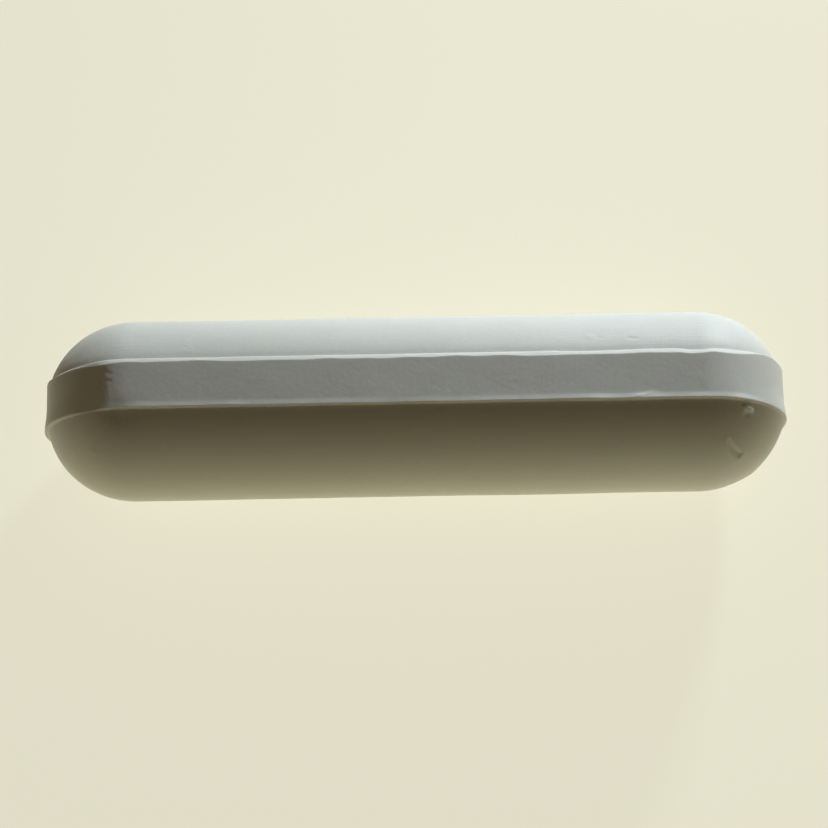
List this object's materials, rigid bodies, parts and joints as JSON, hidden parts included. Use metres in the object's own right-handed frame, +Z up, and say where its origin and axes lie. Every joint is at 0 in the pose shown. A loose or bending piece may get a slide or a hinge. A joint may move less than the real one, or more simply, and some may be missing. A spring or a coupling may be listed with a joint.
{
  "type": "magnetic stir bar",
  "caption": "White capsule-shaped stirring magnet: a rod magnet sealed in a fluoropolymer jacket with a flat lengthwise belt, spun in a vessel to mix liquid.",
  "frame": {"origin": "the middle of the belt's flat that the bar lies on", "axes": "+X along the bar, +Y the direction in which the jacket was pressed, across the belt's width, +Z up"},
  "size_m": [0.025, 0.006, 0.006],
  "materials": {
    "jacket": "pressed and sintered PTFE, white, waxy, semi-matte and slightly translucent",
    "magnet": "cast aluminium-nickel-cobalt magnet alloy, ground on its side and ends"
  },
  "bodies": {
    "root": {"ptfe_jacket": "jacket", "bar_magnet": "magnet"}
  },
  "joints": []
}
